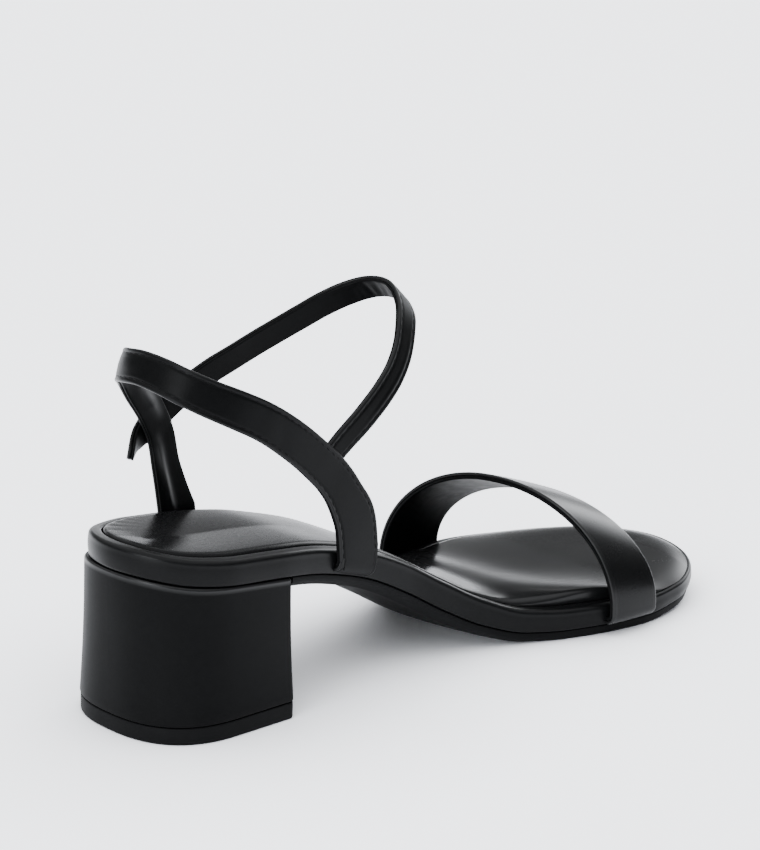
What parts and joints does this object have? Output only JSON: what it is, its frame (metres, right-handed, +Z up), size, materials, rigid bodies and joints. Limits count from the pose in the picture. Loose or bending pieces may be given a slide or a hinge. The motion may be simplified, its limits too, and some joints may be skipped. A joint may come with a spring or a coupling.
{
  "type": "heeled sandal",
  "caption": "Open-toe sandal with a block heel, a padded sock, a toe band, and a heel sling with an instep strap closed by a buckle.",
  "frame": {"origin": "on the floor, under the heel's top piece and below the middle of the heel seat", "axes": "+X to the toe, +Y to the outer side of the left foot, +Z up"},
  "size_m": [0.242, 0.0908, 0.122],
  "materials": {
    "footbed_leather": "smooth black, satin",
    "sock_leather": "smooth black, semi-gloss",
    "outsole_rubber": "matte black",
    "heel_leather": "smooth black, satin",
    "top_piece_rubber": "matte black",
    "strap_leather": "smooth black, satin",
    "band_leather": "smooth black, satin",
    "buckle_metal": "dark, semi-gloss"
  },
  "bodies": {
    "root": {"footbed": "footbed_leather", "insole_sock": "sock_leather", "outsole": "outsole_rubber", "heel_block": "heel_leather", "top_piece": "top_piece_rubber", "upper_straps": "strap_leather", "toe_band": "band_leather", "buckle_frame": "buckle_metal", "buckle_prong": "buckle_metal"}
  },
  "joints": []
}
